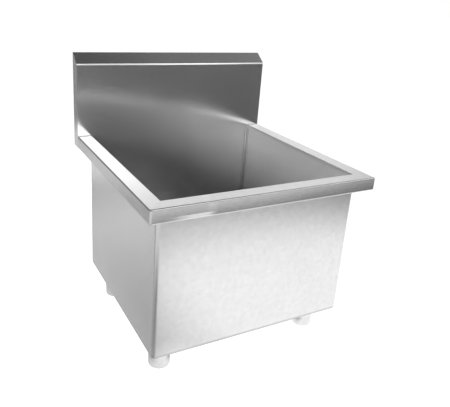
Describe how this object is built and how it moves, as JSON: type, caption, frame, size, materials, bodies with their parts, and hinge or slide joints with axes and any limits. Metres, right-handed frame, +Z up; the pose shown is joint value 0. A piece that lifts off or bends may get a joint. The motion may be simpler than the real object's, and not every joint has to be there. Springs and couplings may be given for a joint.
{
  "type": "utility laundry sink",
  "caption": "Floor-standing stainless laundry sink: deep square bowl in a rim with a tall box backsplash, a plain skirt round three sides and short screw feet.",
  "frame": {"origin": "on the floor, under the middle of the sink's outline", "axes": "+Z up, the user stands at -Y and the backsplash is at +Y, +X to the user's right"},
  "size_m": [0.6, 0.585, 0.6978],
  "materials": {
    "rim_and_backsplash": "fine satin stainless",
    "bowl": "satin stainless",
    "skirt": "satin stainless",
    "welds": "dressed weld",
    "base_frame": "plain mill stainless",
    "legs": "polished tube",
    "feet": "polished",
    "leg_sockets": "moulded",
    "rubber": "matt",
    "slip_ring": "moulded",
    "waste_fittings": "bright",
    "drain": "bright pressed stainless"
  },
  "bodies": {
    "sink": {"back_sheet": "rim_and_backsplash", "base_rail_left": "base_frame", "base_rail_right": "base_frame", "bowl_pan": "bowl", "bowl_wall_front": "bowl", "bowl_wall_left": "bowl", "bowl_wall_right": "bowl", "bowl_weld_front_left": "welds", "bowl_weld_front_right": "welds", "bowl_weld_rear_left": "welds", "bowl_weld_rear_right": "welds", "coupling_nut": "waste_fittings", "drain_body": "drain", "drain_locknut": "waste_fittings", "drain_lower_seal": "rubber", "drain_slip_ring": "slip_ring", "drain_upper_seal": "rubber", "leg_socket_front_left": "leg_sockets", "leg_socket_front_right": "leg_sockets", "leg_socket_rear_left": "leg_sockets", "leg_socket_rear_right": "leg_sockets", "leg_tube_front_left": "legs", "leg_tube_front_right": "legs", "leg_tube_rear_left": "legs", "leg_tube_rear_right": "legs", "rear_angle": "base_frame", "rim_front": "rim_and_backsplash", "rim_left": "rim_and_backsplash", "rim_right": "rim_and_backsplash", "skirt_front": "skirt", "skirt_left": "skirt", "skirt_right": "skirt", "skirt_weld_left": "welds", "skirt_weld_right": "welds", "splash_end_left": "rim_and_backsplash", "splash_end_right": "rim_and_backsplash", "tail_washer": "rubber", "tailpiece": "waste_fittings"},
    "foot_front_left": {"screw_foot_front_left": "feet"},
    "foot_front_right": {"screw_foot_front_right": "feet"},
    "foot_rear_left": {"screw_foot_rear_left": "feet"},
    "foot_rear_right": {"screw_foot_rear_right": "feet"},
    "strainer_basket": {"basket_cup": "drain", "basket_post": "drain", "basket_stopper": "rubber"}
  },
  "joints": [
    {"name": "front_left_foot_height", "type": "slide", "parent": "sink", "child": "foot_front_left", "axis": [0, 0, -1], "range_m": [0, 0.02]},
    {"name": "front_right_foot_height", "type": "slide", "parent": "sink", "child": "foot_front_right", "axis": [0, 0, -1], "range_m": [0, 0.02]},
    {"name": "rear_left_foot_height", "type": "slide", "parent": "sink", "child": "foot_rear_left", "axis": [0, 0, -1], "range_m": [0, 0.02]},
    {"name": "rear_right_foot_height", "type": "slide", "parent": "sink", "child": "foot_rear_right", "axis": [0, 0, -1], "range_m": [0, 0.02]},
    {"name": "basket_lift_out", "type": "slide", "parent": "sink", "child": "strainer_basket", "axis": [0, 0, 1], "range_m": [0, 0.64]}
  ]
}
